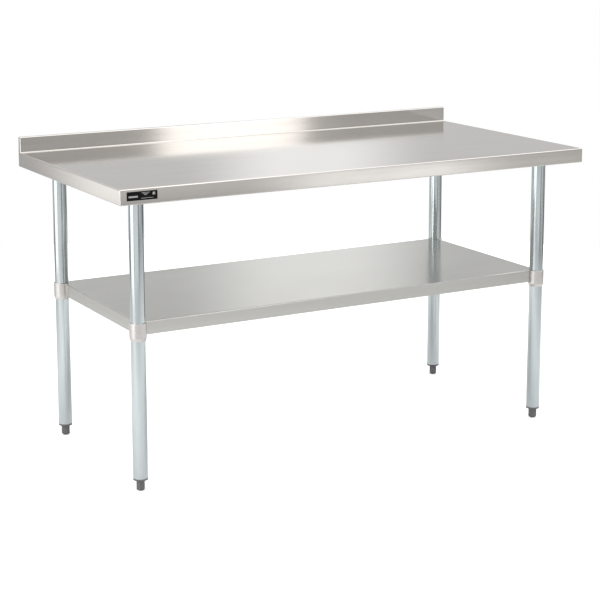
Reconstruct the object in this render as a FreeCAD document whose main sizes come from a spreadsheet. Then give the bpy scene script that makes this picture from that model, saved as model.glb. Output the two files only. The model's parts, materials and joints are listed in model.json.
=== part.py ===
"""Stainless work table with an upstand, a sliding undershelf and four screw-in feet.

A parametric FreeCAD document in millimetres. The origin is on the floor, under the middle of
the table. +X runs to the right along the table, +Y to the back and +Z up. Every driving
dimension is a named cell of the sheet "Sizes", and the pieces are bound to those cells.
"""

import FreeCAD, Part
import Sketcher

import math
import os
from types import SimpleNamespace

# Driving dimensions: name, value in mm, meaning.
DIMENSIONS = [
    ("top_length", 1524.0, "length of the worktop"),
    ("top_depth", 762.0, "depth of the worktop, upstand included"),
    ("top_height", 863.6, "floor to working surface with the feet screwed in"),
    ("top_gauge", 1.2, "thickness of the worktop's stainless sheet"),
    ("top_edge", 43.0, "height of the turned-down front and side edges"),
    ("top_lip", 12.0, "width of the lip under those edges"),
    ("bend_radius", 1.3, "inner radius of a fold in a sheet"),
    ("splash_height", 47.0, "upstand above the working surface"),
    ("splash_return", 15.0, "depth of the fold along the upstand's top"),
    ("splash_drop", 8.0, "height of the small drop behind that fold"),
    ("splash_bend", 2.6, "inner radius at the foot of the upstand"),
    ("splash_overlap", 24.0, "working surface taken along with the upstand's fold"),
    ("leg_inset_side", 88.0, "end of the worktop to a leg's axis"),
    ("leg_inset_front", 100.0, "front or back of the worktop to a leg's axis"),
    ("leg_diameter", 41.3, "outside of a leg tube"),
    ("leg_wall", 1.5, "wall of a leg tube"),
    ("leg_fit", 0.3, "clearance round a leg in its socket and in a clamp"),
    ("leg_end_gap", 0.5, "free space above the end of a leg"),
    ("channel_gauge", 1.5, "thickness of the channels"),
    ("channel_brim", 18.0, "width of each brim of a channel"),
    ("channel_end_gap", 4.0, "free space at the ends of a channel"),
    ("end_channel_crown", 84.0, "width of an end channel's crown"),
    ("end_channel_height", 15.0, "height of an end channel"),
    ("centre_channel_crown", 60.0, "width of the centre channel's crown"),
    ("centre_channel_height", 24.0, "height of the centre channel"),
    ("shelf_channel_crown", 60.0, "width of the crown of the undershelf's channel"),
    ("shelf_channel_height", 16.0, "height of the undershelf's channel"),
    ("stud_diameter", 6.0, "welded stud through a channel's brim"),
    ("stud_length", 12.0, "length of a welded stud"),
    ("stud_hole_gap", 0.3, "clearance round a welded stud in its brim"),
    ("stud_pitch", 270.0, "distance between studs along the centre channel"),
    ("nut_across", 10.0, "across the flats of a stud's nut"),
    ("nut_height", 5.0, "height of a stud's nut"),
    ("nut_flange_diameter", 12.0, "flange of a stud's nut"),
    ("nut_flange_height", 1.2, "thickness of that flange"),
    ("socket_plate", 78.0, "side of a leg socket's square plate"),
    ("socket_plate_gauge", 3.0, "thickness of that plate"),
    ("socket_depth", 38.0, "depth of a leg socket's cup"),
    ("socket_wall", 3.0, "wall of that cup"),
    ("socket_weld", 4.0, "size of the weld round that cup"),
    ("socket_screw_drop", 19.0, "plate to the socket's screw"),
    ("screw_diameter", 8.0, "set screws in the sockets and clamps"),
    ("screw_key", 4.0, "across the flats of a set screw's key recess"),
    ("screw_key_depth", 4.5, "depth of that recess"),
    ("screw_cup", 1.2, "chamfer at a set screw's tip"),
    ("screw_tip_gap", 0.1, "set screw's tip to the leg"),
    ("screw_proud", 2.5, "set screw standing out of its boss"),
    ("boss_diameter", 15.0, "boss round a set screw"),
    ("boss_reach", 11.0, "leg's surface to the end of a boss"),
    ("shelf_height", 477.0, "floor to the undershelf's surface"),
    ("shelf_gauge", 1.0, "thickness of the undershelf's sheet"),
    ("shelf_edge", 38.0, "height of the undershelf's turned-down edges"),
    ("shelf_lip", 10.0, "width of the lip under those edges"),
    ("shelf_outset", 2.0, "leg's axis to the outer face of the undershelf's edge"),
    ("clamp_height", 50.0, "height of a shelf clamp"),
    ("clamp_wall", 3.2, "wall of a shelf clamp"),
    ("clamp_taper", 8.0, "height of the taper under a clamp"),
    ("clamp_taper_wall", 1.0, "wall left at the foot of that taper"),
    ("clamp_top_chamfer", 0.8, "chamfer round a clamp's top"),
    ("clamp_drop", 0.5, "undershelf's surface to the top of a clamp"),
    ("clamp_notch_gap", 0.6, "gap between a clamp and the undershelf's corner"),
    ("clamp_screw_drop", 31.0, "clamp's top to its screw"),
    ("wing_length", 34.0, "clamp's surface to the end of a wing"),
    ("wing_height", 26.0, "height of a clamp's wing"),
    ("wing_gauge", 3.0, "thickness of a clamp's wing"),
    ("foot_height", 27.0, "floor to the top of a foot's hexagon"),
    ("foot_across", 22.0, "across the flats of a foot"),
    ("foot_chamfer", 2.0, "turned chamfer at a foot's ends"),
    ("foot_gap", 0.3, "foot to its insert when it is screwed in"),
    ("foot_stud_diameter", 10.0, "threaded stud of a foot"),
    ("foot_stud_reach", 66.0, "stud above its foot"),
    ("foot_stud_depth", 12.0, "stud inside its foot"),
    ("foot_stud_fit", 0.1, "clearance round a stud in an insert and its nut"),
    ("thread_pitch", 1.5, "pitch of a foot's thread"),
    ("thread_depth", 0.8, "depth of that thread"),
    ("thread_mouth", 1.35, "width of its groove at the stud's surface"),
    ("glide_diameter", 18.0, "glide under a foot"),
    ("glide_height", 2.4, "thickness of a glide"),
    ("glide_chamfer", 0.8, "chamfer under a glide"),
    ("glide_gap", 0.3, "glide to its foot"),
    ("glide_pin_diameter", 7.0, "pin of a glide, on which the foot turns"),
    ("glide_pin_length", 8.0, "length of that pin"),
    ("glide_pin_fit", 0.1, "clearance round that pin"),
    ("insert_collar", 5.0, "height of the insert's collar under a leg"),
    ("insert_cone", 3.7, "height of the cone under that collar"),
    ("insert_nose_diameter", 26.0, "small end of that cone"),
    ("insert_length", 32.0, "insert inside its leg"),
    ("insert_nut_across", 17.0, "across the flats of the nut in an insert"),
    ("insert_nut_height", 8.0, "height of that nut"),
    ("label_length", 88.0, "length of the front label"),
    ("label_height", 24.0, "height of the front label"),
    ("label_gauge", 0.4, "thickness of the front label"),
    ("label_inset", 19.0, "end of the worktop to the label"),
    ("label_drop", 7.5, "working surface to the label's top"),
    ("label_corner", 1.0, "corner radius of the label"),
]

FULL_TURN = 360
QUARTER_TURN = 90.0
HEXAGON = 6
NEAR = 1e-6

# How far a cutting tool stands out past the face that it opens.
TOOL_SPARE = 5.0

doc = FreeCAD.newDocument("work_table")
sheet = doc.addObject("Spreadsheet::Sheet", "Sizes")
for row, (alias, number, meaning) in enumerate(DIMENSIONS, start=1):
    sheet.set(f"A{row}", meaning)
    sheet.set(f"B{row}", str(number))
    sheet.setAlias(f"B{row}", alias)
doc.recompute()


class Size:
    """A length worked out from the sheet: the expression to bind and its present value."""

    def __init__(self, text, number):
        self.text = text
        self.number = number

    def __add__(self, other):
        other = size(other)
        return Size(f"({self.text} + {other.text})", self.number + other.number)

    def __sub__(self, other):
        other = size(other)
        return Size(f"({self.text} - {other.text})", self.number - other.number)

    def __mul__(self, factor):
        return Size(f"({self.text} * {factor})", self.number * factor)

    def __truediv__(self, divisor):
        return Size(f"({self.text} / {divisor})", self.number / divisor)

    def __neg__(self):
        return self * -1


def size(given):
    """A Size for a Size or a plain number."""
    return given if isinstance(given, Size) else Size(f"({given})", given)


d = SimpleNamespace(
    **{alias: Size(f"Sizes.{alias}", float(sheet.get(alias))) for alias, _, _ in DIMENSIONS}
)

# Places that follow from the driving dimensions.
half_length = d.top_length / 2
half_depth = d.top_depth / 2
leg_x = half_length - d.leg_inset_side
leg_y = half_depth - d.leg_inset_front
leg_radius = d.leg_diameter / 2
bore_radius = leg_radius + d.leg_fit
boss_end = leg_radius + d.boss_reach
top_underside = d.top_height - d.top_gauge
splash_face = half_depth - d.splash_return
socket_top = top_underside - d.end_channel_height
cup_top = socket_top - d.socket_plate_gauge
leg_foot = d.foot_height + d.foot_gap + d.insert_cone + d.insert_collar
end_channel_half = d.end_channel_crown / 2 + d.channel_brim
centre_channel_half = d.centre_channel_crown / 2 + d.channel_brim
centre_channel_length = (leg_x - end_channel_half - d.channel_end_gap) * 2
shelf_half_length = leg_x + d.shelf_outset
shelf_half_depth = leg_y + d.shelf_outset
clamp_radius = bore_radius + d.clamp_wall
clamp_top = d.shelf_height - d.clamp_drop
clamp_foot = clamp_top - d.clamp_height
wing_face = d.shelf_gauge - d.shelf_outset
wing_end = clamp_radius + d.wing_length
wing_top = d.shelf_height - d.shelf_gauge - d.bend_radius
stud_bore_radius = d.foot_stud_diameter / 2 + d.foot_stud_fit

# The corners: name, side of X, side of Y, and the turn that points +X and +Y inwards.
CORNERS = [
    ("front_left", -1, -1, 0),
    ("front_right", 1, -1, QUARTER_TURN),
    ("rear_right", 1, 1, 2 * QUARTER_TURN),
    ("rear_left", -1, 1, 3 * QUARTER_TURN),
]

UP = FreeCAD.Vector(0, 0, 1)
ALONG_X = FreeCAD.Rotation(FreeCAD.Vector(0, 1, 0), QUARTER_TURN)
ALONG_DIAGONAL = FreeCAD.Rotation(UP, QUARTER_TURN / 2) * ALONG_X

subparts = []


# Helpers that every piece uses.


def keep(made, label):
    """Marks an object as a sub-part, whose file is named by its label."""
    made.Label = label
    subparts.append(made)


def bind(made, **sizes):
    """Binds properties to sizes."""
    for name, given in sizes.items():
        made.setExpression(name, size(given).text)
    return made


def place(made, x=0.0, y=0.0, z=0.0, turn=None):
    """Binds an object's place, after a fixed rotation if one is given."""
    if turn is not None:
        made.Placement = FreeCAD.Placement(FreeCAD.Vector(), turn)
    for axis, given in zip("xyz", (x, y, z)):
        made.setExpression(f"Placement.Base.{axis}", size(given).text)
    return made


def at_corner(made, corner, z=0.0):
    """Places a piece that is drawn round the leg's axis of the front left corner."""
    _, side_x, side_y, turn = corner
    return place(made, leg_x * side_x, leg_y * side_y, z, FreeCAD.Rotation(UP, turn))


def middle_of(edge):
    return edge.valueAt((edge.FirstParameter + edge.LastParameter) / 2)


def direction_of(edge):
    return edge.tangentAt(edge.FirstParameter)


def is_upright(edge):
    return abs(direction_of(edge).z) > 0.5


# Part primitives and booleans.


def box(name, low, high):
    """A box between two corners."""
    made = doc.addObject("Part::Box", name)
    length, width, height = (size(far) - near for near, far in zip(low, high))
    bind(made, Length=length, Width=width, Height=height)
    return place(made, *low)


def cylinder(name, radius, height, x=0.0, y=0.0, z=0.0, turn=None):
    made = doc.addObject("Part::Cylinder", name)
    bind(made, Radius=radius, Height=height)
    return place(made, x, y, z, turn)


def hexagon(name, across, height, z=0.0):
    """An upright hexagonal bar, by its width across the flats."""
    made = doc.addObject("Part::Prism", name)
    made.Polygon = HEXAGON
    bind(made, Circumradius=across / math.sqrt(3), Height=height)
    return place(made, z=z)


def fuse(name, pieces):
    made = doc.addObject("Part::MultiFuse", name)
    made.Shapes = pieces
    return made


def cut(name, base, tool):
    made = doc.addObject("Part::Cut", name)
    made.Base = base
    made.Tool = tool
    return made


def common(name, pieces):
    made = doc.addObject("Part::MultiCommon", name)
    made.Shapes = pieces
    return made


def group(name, pieces):
    """Separate solids that share one sub-part."""
    made = doc.addObject("Part::Compound", name)
    made.Links = pieces
    return made


def rounded(name, base, radius, wanted):
    """Fillets those edges of a base that are wanted."""
    doc.recompute()
    made = doc.addObject("Part::Fillet", name)
    made.Base = base
    made.Edges = [
        (number, radius.number, radius.number)
        for number, edge in enumerate(base.Shape.Edges, start=1)
        if wanted(edge)
    ]
    return made


# PartDesign bodies.


def new_body(name):
    return doc.addObject("PartDesign::Body", name)


def sketch_on(body, role, lift=0.0):
    """A sketch on one of the body's own origin planes, lifted along the plane's normal."""
    plane = next(feature for feature in body.Origin.OriginFeatures if feature.Role == role)
    sketch = body.newObject("Sketcher::SketchObject", f"{body.Name}_sketch")
    sketch.AttachmentSupport = [(plane, "")]
    sketch.MapMode = "FlatFace"
    sketch.setExpression("AttachmentOffset.Base.z", size(lift).text)
    return sketch


def constrain(sketch, kind, given, *where):
    """Adds a dimension to a sketch and binds it to a size."""
    number = sketch.addConstraint(Sketcher.Constraint(kind, *where, size(given).number))
    sketch.setExpression(f"Constraints[{number}]", size(given).text)


def circle(sketch, radius):
    """A circle round the sketch's origin."""
    number = sketch.addGeometry(Part.Circle(FreeCAD.Vector(), UP, radius.number))
    sketch.addConstraint(Sketcher.Constraint("Coincident", number, 3, -1, 1))
    constrain(sketch, "Radius", radius, number)


def outline(sketch, corners, radii=None):
    """A closed outline through bound points, with an arc at each corner that has a radius.

    The two lines at such a corner run along the sketch's axes.
    """
    count = len(corners)
    radii = radii or [None] * count
    points = [FreeCAD.Vector(size(u).number, size(v).number, 0) for u, v in corners]
    starts = []
    ends = []
    for step, point in enumerate(points):
        back = points[step - 1] - point
        ahead = points[(step + 1) % count] - point
        reach = size(radii[step] or 0.0).number
        ends.append(point + back.normalize() * reach)
        starts.append(point + ahead.normalize() * reach)
    lines = [
        sketch.addGeometry(Part.LineSegment(starts[step], ends[(step + 1) % count]))
        for step in range(count)
    ]
    for step, point in enumerate(points):
        arriving = lines[step - 1]
        leaving = lines[step]
        if radii[step] is None:
            sketch.addConstraint(Sketcher.Constraint("Coincident", arriving, 2, leaving, 1))
            continue
        centre = ends[step] + starts[step] - point
        outwards = (point - centre).normalize() * size(radii[step]).number
        arc = sketch.addGeometry(Part.Arc(ends[step], centre + outwards, starts[step]))
        turns_left = (ends[step] - centre).cross(starts[step] - centre).z > 0
        first, last = (1, 2) if turns_left else (2, 1)
        sketch.addConstraint(Sketcher.Constraint("Tangent", arriving, 2, arc, first))
        sketch.addConstraint(Sketcher.Constraint("Tangent", leaving, 1, arc, last))
        constrain(sketch, "Radius", radii[step], arc)
    place_lines(sketch, lines, points, corners)


def place_lines(sketch, lines, points, corners):
    """Binds each upright and level line, and each point that no such line places."""
    count = len(points)
    for step, (line, point) in enumerate(zip(lines, points)):
        before = points[step - 1]
        after = points[(step + 1) % count]
        if abs(after.x - point.x) < NEAR:
            sketch.addConstraint(Sketcher.Constraint("Vertical", line))
            constrain(sketch, "DistanceX", corners[step][0], -1, 1, line, 1)
        elif abs(before.x - point.x) > NEAR:
            constrain(sketch, "DistanceX", corners[step][0], -1, 1, line, 1)
        if abs(after.y - point.y) < NEAR:
            sketch.addConstraint(Sketcher.Constraint("Horizontal", line))
            constrain(sketch, "DistanceY", corners[step][1], -1, 1, line, 1)
        elif abs(before.y - point.y) > NEAR:
            constrain(sketch, "DistanceY", corners[step][1], -1, 1, line, 1)


def pad(body, sketch, length, midplane=False):
    made = body.newObject("PartDesign::Pad", f"{body.Name}_pad")
    made.Profile = sketch
    made.Midplane = midplane
    bind(made, Length=length)
    body.Tip = made
    return body


def turned(name, corners):
    """A body turned about Z from a half profile given as radius and height."""
    body = new_body(name)
    profile = sketch_on(body, "XZ_Plane")
    outline(profile, corners)
    made = body.newObject("PartDesign::Revolution", f"{name}_revolution")
    made.Profile = profile
    made.ReferenceAxis = (profile, ["V_Axis"])
    made.Angle = FULL_TURN
    body.Tip = made
    return body


# Folded sheet metal.


def heading(start, end):
    """The axis direction from one point of a path to the next."""
    along = size(end[0]).number - size(start[0]).number
    across = size(end[1]).number - size(start[1]).number
    if abs(along) > abs(across):
        return (int(math.copysign(1, along)), 0)
    return (0, int(math.copysign(1, across)))


def folded(name, role, path, gauge, inner_radii, length):
    """A folded strip. The path is one face of the sheet, which lies to the path's right."""
    body = new_body(name)
    last = len(path) - 1
    headings = [heading(path[step], path[step + 1]) for step in range(last)]
    near_side = []
    far_side = []
    for step, (u, v) in enumerate(path):
        arriving = headings[max(step - 1, 0)]
        leaving = headings[min(step, last - 1)]
        shift_u = arriving[1] or leaving[1]
        shift_v = -(arriving[0] or leaving[0])
        far = (size(u) + gauge * shift_u, size(v) + gauge * shift_v)
        turn = arriving[0] * leaving[1] - arriving[1] * leaving[0]
        if turn == 0:
            near_radius = far_radius = None
        elif turn > 0:
            near_radius = inner_radii[step - 1]
            far_radius = near_radius + gauge
        else:
            far_radius = inner_radii[step - 1]
            near_radius = far_radius + gauge
        near_side.append(((u, v), near_radius))
        far_side.append((far, far_radius))
    around = near_side + far_side[::-1]
    profile = sketch_on(body, role)
    outline(profile, [corner for corner, _ in around], [radius for _, radius in around])
    return pad(body, profile, length, midplane=True)


def hat_channel(name, role, crown, height, top, length):
    """A hat channel: its brims lie under a sheet and its crown hangs down."""
    side = crown / 2
    crown_face = top - height + d.channel_gauge
    path = [
        (-side - d.channel_brim, top),
        (-side, top),
        (-side, crown_face),
        (side, crown_face),
        (side, top),
        (side + d.channel_brim, top),
    ]
    return folded(name, role, path, d.channel_gauge, [d.bend_radius] * 4, length)


def pan(name, half_x, half_y, top, gauge, edge, lip, back_spare):
    """A sheet with edges turned down and lips turned in, open at the back if there is spare."""
    floor = top - edge
    is_open = back_spare > 0
    outer = box(f"{name}_block", (-half_x, -half_y, floor), (half_x, half_y, top))
    hollow = box(
        f"{name}_hollow",
        (gauge - half_x, gauge - half_y, floor + gauge),
        (half_x - gauge, half_y + back_spare if is_open else half_y - gauge, top - gauge),
    )
    mouth = box(
        f"{name}_mouth",
        (lip - half_x, lip - half_y, floor - gauge),
        (half_x - lip, half_y + back_spare if is_open else half_y - lip, floor + gauge * 2),
    )

    def before(limit):
        return lambda edge: not is_open or middle_of(edge).y < limit - NEAR

    back = half_y.number
    skin = rounded(f"{name}_skin", outer, d.bend_radius + gauge, before(back))
    inside = rounded(f"{name}_inside", hollow, d.bend_radius, before(back + back_spare))
    return cut(f"{name}_pan", cut(f"{name}_shell", skin, inside), mouth)


# The worktop and what stiffens it.


def build_worktop():
    """A pan with an open back, and an upstand folded up behind it with closed ends."""
    tray = pan(
        "worktop",
        half_length,
        half_depth,
        d.top_height,
        d.top_gauge,
        d.top_edge,
        d.top_lip,
        back_spare=TOOL_SPARE,
    )
    behind = box(
        "worktop_behind",
        (d.top_gauge - half_length, splash_face - d.splash_bend, top_underside - d.bend_radius),
        (half_length - d.top_gauge, half_depth + TOOL_SPARE, d.top_height + TOOL_SPARE),
    )
    splash_top = d.top_height + d.splash_height
    path = [
        (splash_face - d.splash_overlap, d.top_height),
        (splash_face, d.top_height),
        (splash_face, splash_top),
        (half_depth, splash_top),
        (half_depth, splash_top - d.splash_drop),
    ]
    radii = [d.splash_bend, d.bend_radius, d.bend_radius]
    upstand = folded("worktop_upstand", "YZ_Plane", path, d.top_gauge, radii, d.top_length)
    caps = []
    for side, low_x in (("left", -half_length), ("right", half_length - d.top_gauge)):
        cap = box(
            f"worktop_{side}_cap",
            (low_x, splash_face, top_underside - d.bend_radius),
            (low_x + d.top_gauge, half_depth, splash_top),
        )
        round_top = rounded(
            f"worktop_{side}_cap_rounded",
            cap,
            d.bend_radius + d.top_gauge,
            lambda edge: abs(direction_of(edge).x) > 0.5 and middle_of(edge).z > d.top_height.number,
        )
        caps.append(round_top)
    keep(fuse("worktop_sheet", [cut("worktop_tray", tray, behind), upstand] + caps), "worktop")


def stud_places():
    """The studs of the end channels and of the centre channel, as points under the worktop."""
    ends = []
    for side in (-1, 1):
        for brim in (-1, 1):
            x = leg_x * side + (end_channel_half - d.channel_brim / 2) * brim
            for step in (-1, 0, 1):
                ends.append((x, (leg_y - d.socket_plate / 2) * step))
    centre = []
    count = int(centre_channel_length.number // d.stud_pitch.number)
    for brim in (-1, 1):
        y = (centre_channel_half - d.channel_brim / 2) * brim
        for step in range(1 - count, count, 2):
            centre.append((d.stud_pitch * (step / 2), y))
    return ends, centre


def stud_holes(name, places):
    radius = d.stud_diameter / 2 + d.stud_hole_gap
    depth = d.channel_gauge + TOOL_SPARE
    low = top_underside - depth
    return fuse(
        name,
        [
            cylinder(f"{name}_{number}", radius, depth + TOOL_SPARE, x, y, low)
            for number, (x, y) in enumerate(places)
        ],
    )


def build_channels():
    """Two end channels that carry the leg sockets, and a centre channel between them."""
    ends, centre = stud_places()
    front = d.top_gauge + d.channel_end_gap - half_depth
    back = splash_face - d.splash_bend - d.channel_end_gap
    for side, sign in (("left", -1), ("right", 1)):
        fold = hat_channel(
            f"{side}_channel_fold",
            "XZ_Plane",
            d.end_channel_crown,
            d.end_channel_height,
            top_underside,
            back - front,
        )
        place(fold, leg_x * sign, (front + back) / 2)
        own = [(x, y) for x, y in ends if x.number * sign > 0]
        holes = stud_holes(f"{side}_channel_holes", own)
        keep(cut(f"{side}_channel_sheet", fold, holes), f"{side}_end_channel")
    fold = hat_channel(
        "centre_channel_fold",
        "YZ_Plane",
        d.centre_channel_crown,
        d.centre_channel_height,
        top_underside,
        centre_channel_length,
    )
    holes = stud_holes("centre_channel_holes", centre)
    keep(cut("centre_channel_sheet", fold, holes), "centre_channel")


def build_channel_fixings():
    """Studs welded under the worktop, with a flanged nut on each."""
    studs = []
    nuts = []
    ends, centre = stud_places()
    for number, (x, y) in enumerate(ends + centre):
        name = f"weld_stud_{number}"
        low = top_underside - d.stud_length
        studs.append(cylinder(name, d.stud_diameter / 2, d.stud_length, x, y, low))
        name = f"flange_nut_{number}"
        blank = fuse(
            f"{name}_blank",
            [
                cylinder(
                    f"{name}_flange",
                    d.nut_flange_diameter / 2,
                    d.nut_flange_height,
                    z=-d.nut_flange_height,
                ),
                hexagon(f"{name}_hexagon", d.nut_across, d.nut_height, -d.nut_height),
            ],
        )
        bore = cylinder(
            f"{name}_bore",
            d.stud_diameter / 2,
            d.nut_height + TOOL_SPARE * 2,
            z=-d.nut_height - TOOL_SPARE,
        )
        nuts.append(place(cut(name, blank, bore), x, y, top_underside - d.channel_gauge))
    keep(group("weld_studs", studs), "channel_weld_studs")
    keep(group("flange_nuts", nuts), "channel_nuts")


# Sockets, clamps and their set screws, drawn round the leg's axis of the front left corner.


def screw_boss(name, height):
    """A boss that points from the leg towards the middle of the table."""
    return cylinder(name, d.boss_diameter / 2, boss_end, z=height, turn=ALONG_DIAGONAL)


def screw_bore(name, height):
    reach = boss_end + TOOL_SPARE
    return cylinder(name, d.screw_diameter / 2, reach, z=height, turn=ALONG_DIAGONAL)


def set_screw(name, height):
    """A set screw with a chamfered tip at the leg and a hexagonal recess in its outer end."""
    tip = leg_radius + d.screw_tip_gap
    end = boss_end + d.screw_proud
    radius = d.screw_diameter / 2
    shank = turned(
        f"{name}_shank",
        [
            (0.0, tip),
            (radius - d.screw_cup, tip),
            (radius, tip + d.screw_cup),
            (radius, end),
            (0.0, end),
        ],
    )
    recess = hexagon(
        f"{name}_recess", d.screw_key, d.screw_key_depth + TOOL_SPARE, end - d.screw_key_depth
    )
    return place(cut(name, shank, recess), z=height, turn=ALONG_DIAGONAL)


def build_sockets():
    """Steel sockets: a plate welded under an end channel, with a cup for the leg."""
    half = d.socket_plate / 2
    cup_radius = bore_radius + d.socket_wall
    cup_foot = cup_top - d.socket_depth
    screw_height = cup_top - d.socket_screw_drop
    screws = []
    for corner in CORNERS:
        name = f"{corner[0]}_socket"
        plate = box(f"{name}_plate", (-half, -half, cup_top), (half, half, socket_top))
        plate = rounded(f"{name}_plate_rounded", plate, d.socket_weld, is_upright)
        cup = turned(
            f"{name}_cup",
            [
                (bore_radius, cup_foot),
                (cup_radius, cup_foot),
                (cup_radius, cup_top - d.socket_weld),
                (cup_radius + d.socket_weld, cup_top),
                (bore_radius, cup_top),
            ],
        )
        blank = fuse(f"{name}_blank", [plate, cup, screw_boss(f"{name}_boss", screw_height)])
        bore = cylinder(f"{name}_bore", bore_radius, d.socket_depth, z=cup_foot)
        tools = fuse(f"{name}_tools", [bore, screw_bore(f"{name}_thread", screw_height)])
        keep(at_corner(cut(name, blank, tools), corner), f"{corner[0]}_leg_socket")
        screws.append(corner_screw(f"{name}_screw", screw_height, corner))
    keep(group("socket_screws", screws), "socket_set_screws")


def corner_screw(name, height, corner):
    return at_corner(group(f"{name}_placed", [set_screw(name, height)]), corner)


def wing(name, swapped):
    """A clamp's wing along +X inside the front edge or, swapped, along +Y inside the end."""
    low = (0.0, wing_face, wing_top - d.wing_height)
    high = (wing_end, wing_face + d.wing_gauge, wing_top)
    if swapped:
        low = (low[1], low[0], low[2])
        high = (high[1], high[0], high[2])
    return box(name, low, high)


def build_clamps():
    """Cast clamps: a collar round the leg, two wings and a boss for the set screw."""
    screw_height = clamp_top - d.clamp_screw_drop
    screws = []
    for corner in CORNERS:
        name = f"{corner[0]}_clamp"
        collar = turned(
            f"{name}_collar",
            [
                (bore_radius, clamp_foot),
                (bore_radius + d.clamp_taper_wall, clamp_foot),
                (clamp_radius, clamp_foot + d.clamp_taper),
                (clamp_radius, clamp_top - d.clamp_top_chamfer),
                (clamp_radius - d.clamp_top_chamfer, clamp_top),
                (bore_radius, clamp_top),
            ],
        )
        wings = [wing(f"{name}_wing_{swapped}", swapped) for swapped in (0, 1)]
        boss = screw_boss(f"{name}_boss", screw_height)
        blank = fuse(f"{name}_blank", [collar, boss] + wings)
        tools = [
            cylinder(f"{name}_bore", bore_radius, d.clamp_height, z=clamp_foot),
            screw_bore(f"{name}_thread", screw_height),
        ]
        clamp = cut(name, blank, fuse(f"{name}_tools", tools))
        keep(at_corner(clamp, corner), f"{corner[0]}_shelf_clamp")
        screws.append(corner_screw(f"{name}_screw", screw_height, corner))
    keep(group("clamp_screws", screws), "clamp_set_screws")


def build_undershelf():
    """A pan with its corners cut away round the clamps, and the channel under it."""
    tray = pan(
        "undershelf",
        shelf_half_length,
        shelf_half_depth,
        d.shelf_height,
        d.shelf_gauge,
        d.shelf_edge,
        d.shelf_lip,
        back_spare=0.0,
    )
    notches = []
    for corner in CORNERS:
        notch = cylinder(
            f"undershelf_{corner[0]}_notch",
            clamp_radius + d.clamp_notch_gap,
            d.shelf_edge + TOOL_SPARE * 2,
        )
        notches.append(at_corner(notch, corner, d.shelf_height - d.shelf_edge - TOOL_SPARE))
    keep(cut("undershelf_sheet", tray, fuse("undershelf_notches", notches)), "undershelf")
    channel = hat_channel(
        "undershelf_channel_fold",
        "YZ_Plane",
        d.shelf_channel_crown,
        d.shelf_channel_height,
        d.shelf_height - d.shelf_gauge,
        (shelf_half_length - d.shelf_gauge - d.channel_end_gap) * 2,
    )
    keep(channel, "undershelf_channel")


# Legs and feet.


def build_legs():
    """Tubes from the inserts up to the sockets."""
    for corner in CORNERS:
        body = new_body(f"{corner[0]}_tube")
        section = sketch_on(body, "XY_Plane", leg_foot)
        circle(section, leg_radius)
        circle(section, leg_radius - d.leg_wall)
        pad(body, section, cup_top - d.leg_end_gap - leg_foot)
        keep(at_corner(body, corner), f"{corner[0]}_leg")


def build_inserts():
    """Moulded inserts that close the legs, each with a nut for the foot's stud."""
    plug = leg_radius - d.leg_wall
    insert_top = leg_foot + d.insert_length
    nut_floor = insert_top - d.insert_nut_height
    nuts = []
    for corner in CORNERS:
        name = f"{corner[0]}_insert"
        blank = turned(
            f"{name}_blank",
            [
                (stud_bore_radius, leg_foot - d.insert_collar - d.insert_cone),
                (d.insert_nose_diameter / 2, leg_foot - d.insert_collar - d.insert_cone),
                (leg_radius, leg_foot - d.insert_collar),
                (leg_radius, leg_foot),
                (plug, leg_foot),
                (plug, insert_top),
                (stud_bore_radius, insert_top),
            ],
        )
        seat = hexagon(
            f"{name}_seat", d.insert_nut_across, d.insert_nut_height + TOOL_SPARE, nut_floor
        )
        keep(at_corner(cut(name, blank, seat), corner), f"{corner[0]}_foot_insert")
        bar = hexagon(f"{name}_nut_bar", d.insert_nut_across, d.insert_nut_height, nut_floor)
        bore = cylinder(f"{name}_nut_bore", stud_bore_radius, d.insert_nut_height, z=nut_floor)
        nuts.append(at_corner(cut(f"{name}_nut", bar, bore), corner))
    keep(group("insert_nuts", nuts), "foot_insert_nuts")


def build_feet():
    """Hexagonal feet moulded round their studs, each turning on the pin of its glide."""
    foot_floor = d.glide_height + d.glide_gap
    stud_foot = d.foot_height - d.foot_stud_depth
    pin_top = d.glide_height + d.glide_pin_length
    pin_bore = d.glide_pin_diameter / 2 + d.glide_pin_fit
    corner_radius = d.foot_across / math.sqrt(3)
    chamfered = corner_radius - d.foot_chamfer
    for corner in CORNERS:
        name = f"{corner[0]}_foot"
        blank = turned(
            f"{name}_blank",
            [
                (pin_bore, foot_floor),
                (chamfered, foot_floor),
                (corner_radius, foot_floor + d.foot_chamfer),
                (corner_radius, d.foot_height - d.foot_chamfer / 2),
                (chamfered, d.foot_height),
                (d.foot_stud_diameter / 2, d.foot_height),
                (d.foot_stud_diameter / 2, stud_foot),
                (0.0, stud_foot),
                (0.0, pin_top + d.glide_gap),
                (pin_bore, pin_top + d.glide_gap),
            ],
        )
        bar = hexagon(f"{name}_bar", d.foot_across, d.foot_height)
        keep(at_corner(common(name, [blank, bar]), corner), f"{corner[0]}_foot")
        stud = threaded_stud(f"{name}_stud_bar", stud_foot)
        keep(at_corner(stud, corner), f"{corner[0]}_foot_stud")
        glide = turned(
            f"{corner[0]}_glide_disc",
            [
                (0.0, 0.0),
                (d.glide_diameter / 2 - d.glide_chamfer, 0.0),
                (d.glide_diameter / 2, d.glide_chamfer),
                (d.glide_diameter / 2, d.glide_height),
                (d.glide_pin_diameter / 2, d.glide_height),
                (d.glide_pin_diameter / 2, pin_top),
                (0.0, pin_top),
            ],
        )
        keep(at_corner(glide, corner), f"{corner[0]}_glide")


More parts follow.
